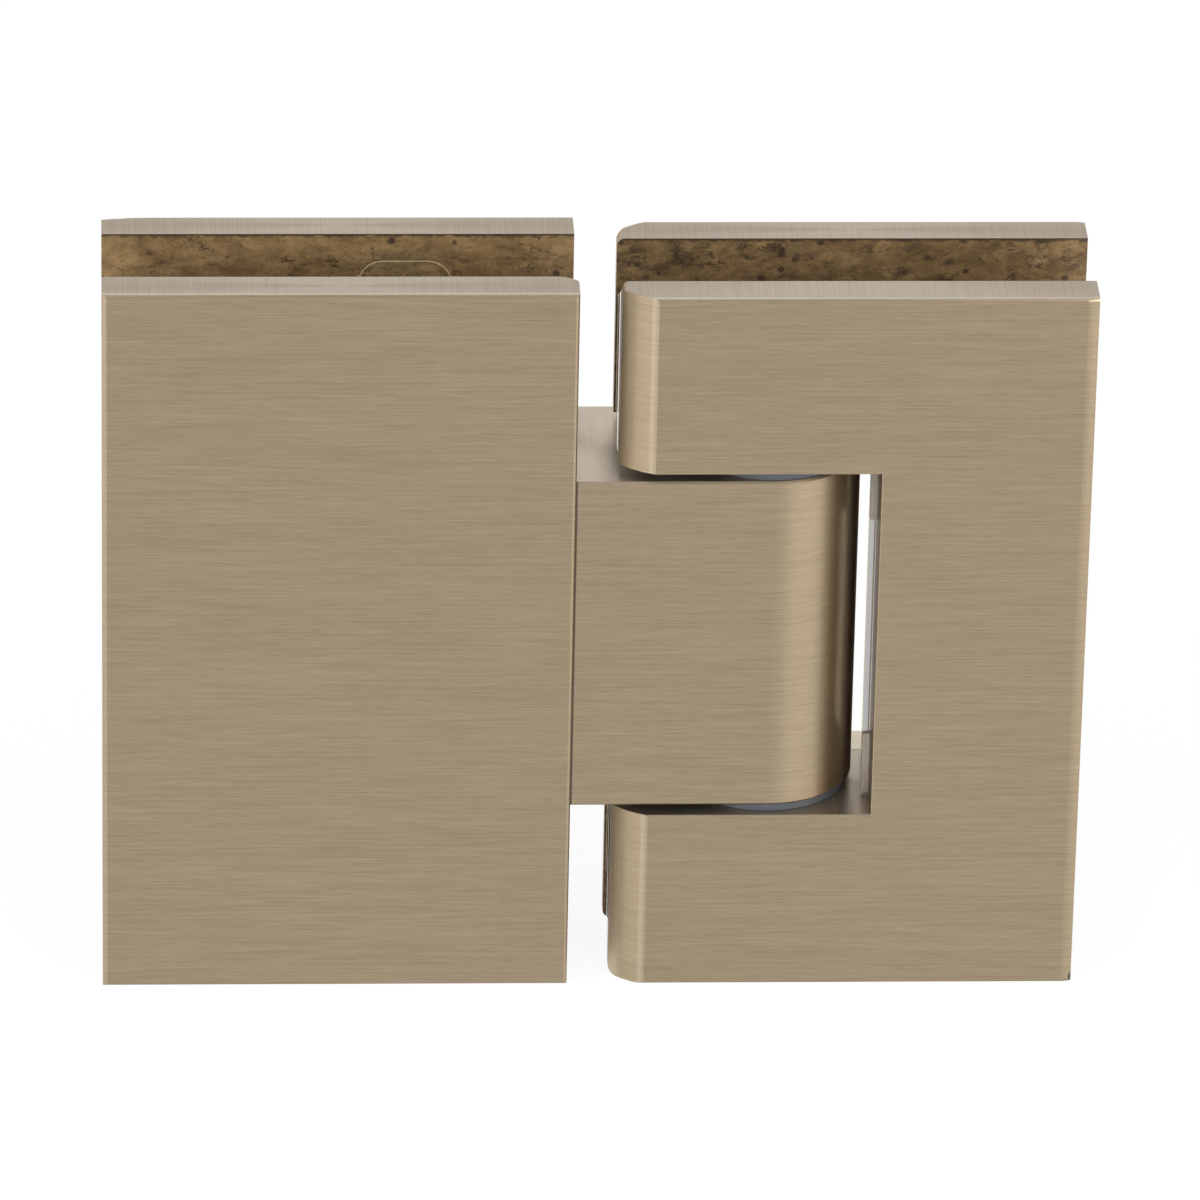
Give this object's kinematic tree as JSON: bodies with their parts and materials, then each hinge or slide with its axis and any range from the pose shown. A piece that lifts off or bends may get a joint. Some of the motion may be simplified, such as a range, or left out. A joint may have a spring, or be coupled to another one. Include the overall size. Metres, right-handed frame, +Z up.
{
  "type": "shower door hinge",
  "caption": "Glass-to-glass shower door hinge: two clamping leaves in satin bronze brass, joined by a round-nosed knuckle on a sprung, self-centring pivot.",
  "frame": {"origin": "middle of the closed hinge: half way along it, in the mid-plane of the glass, at the fixed leaf's mid-height", "axes": "+X from the fixed leaf to the door leaf, +Y from the front faces to the back faces, +Z up, parallel to the pivot pin"},
  "size_m": [0.115, 0.022, 0.09],
  "materials": {
    "satin_bronze": "brushed",
    "acetal": "moulded",
    "clear_vinyl": "clear",
    "screw_steel": "machined",
    "pin_steel": "ground",
    "plunger_brass": "turned",
    "spring_steel": "drawn wire"
  },
  "bodies": {
    "fixed_leaf": {"fixed_front_plate": "satin_bronze", "fixed_back_plate": "satin_bronze", "knuckle_block": "satin_bronze", "fixed_front_gasket": "clear_vinyl", "fixed_back_gasket": "clear_vinyl", "fixed_upper_clamp_screw": "screw_steel", "fixed_lower_clamp_screw": "screw_steel", "upper_bush": "acetal", "lower_bush": "acetal", "upper_spring_screw": "screw_steel", "lower_spring_screw": "screw_steel", "upper_spring": "spring_steel", "lower_spring": "spring_steel"},
    "door_leaf": {"door_front_plate": "satin_bronze", "door_back_plate": "satin_bronze", "door_front_gasket": "clear_vinyl", "door_back_gasket": "clear_vinyl", "pivot_pin": "pin_steel", "upper_pin_screw": "screw_steel", "lower_pin_screw": "screw_steel", "door_upper_clamp_screw": "screw_steel", "door_lower_clamp_screw": "screw_steel"},
    "upper_detent": {"upper_plunger": "plunger_brass"},
    "lower_detent": {"lower_plunger": "plunger_brass"}
  },
  "joints": [
    {"name": "door_swing", "type": "hinge", "parent": "fixed_leaf", "child": "door_leaf", "pos_m": [0.02075, 0, 0], "axis": [0, 0, 1], "range_deg": [-90, 90]},
    {"name": "upper_plunger_slide", "type": "slide", "parent": "fixed_leaf", "child": "upper_detent", "axis": [-1, 0, 0], "range_m": [0, 0.0008], "stiffness_N_per_m": 4000, "springref_m": -0.002, "deforming": ["upper_spring"]},
    {"name": "lower_plunger_slide", "type": "slide", "parent": "fixed_leaf", "child": "lower_detent", "axis": [-1, 0, 0], "range_m": [0, 0.0008], "stiffness_N_per_m": 4000, "springref_m": -0.002, "deforming": ["lower_spring"]}
  ]
}
